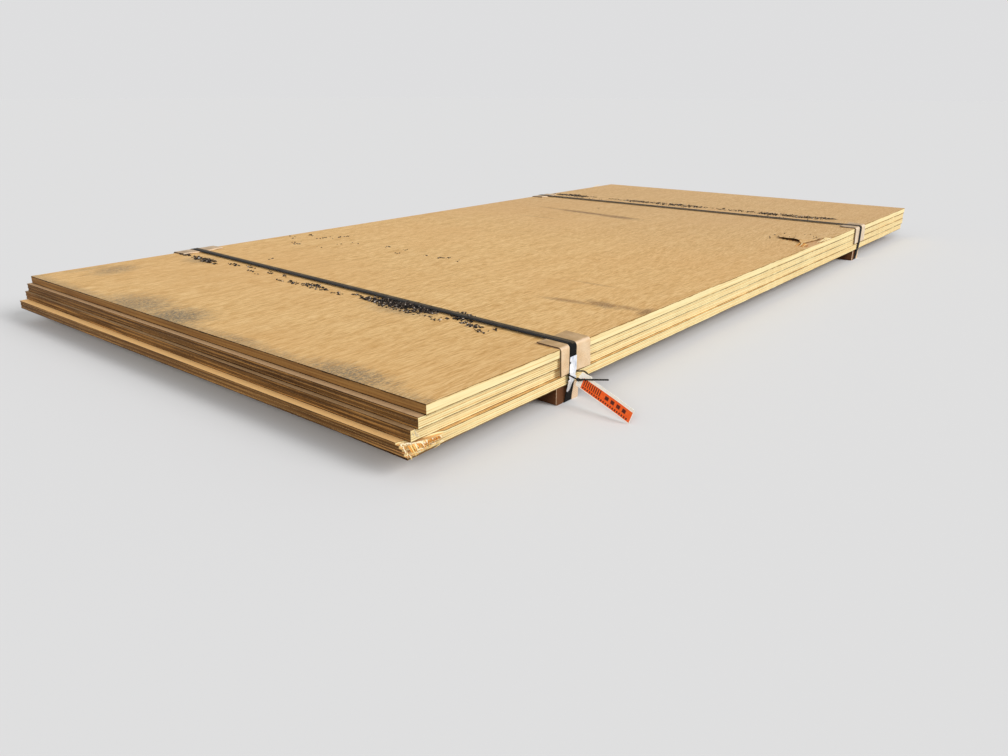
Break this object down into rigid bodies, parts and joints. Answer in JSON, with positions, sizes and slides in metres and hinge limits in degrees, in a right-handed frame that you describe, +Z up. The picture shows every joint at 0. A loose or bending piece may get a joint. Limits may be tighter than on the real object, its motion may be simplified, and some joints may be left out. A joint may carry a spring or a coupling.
{
  "type": "stack of plywood sheets",
  "caption": "Flat stack of full-size plywood sheets on timber bearers, held by flat plastic straps over folded paperboard corners, with a hanging tag and one torn corner.",
  "frame": {"origin": "on the floor, under the middle of the whole stack's bounding box", "axes": "+X along the sheets, away from the slid-out ends; +Y across them, away from the tagged long side; +Z up"},
  "size_m": [2.4732, 1.3622, 0.1084],
  "materials": {
    "sheet_top": "bare sanded veneer, satin",
    "sheet_lower": "bare veneer with sawn edges",
    "bearer": "rough sawn timber",
    "strap": "black polypropylene strapping, satin",
    "paperboard": "bare paperboard, matte",
    "white_paper": "white paper, matte",
    "tag_card": "orange card with a pale border",
    "tie": "black nylon"
  },
  "bodies": {
    "root": {"sheet_top": "sheet_top", "sheet_second": "sheet_lower", "sheet_third": "sheet_lower", "sheet_bottom": "sheet_lower", "bearer_near": "bearer", "bearer_far": "bearer", "strap_near": "strap", "strap_far": "strap", "corner_board_near_front": "paperboard", "corner_board_near_back": "paperboard", "corner_board_far_front": "paperboard", "corner_board_far_back": "paperboard", "strap_wrap": "white_paper", "tag": "tag_card", "tag_tie": "tie"}
  },
  "joints": []
}
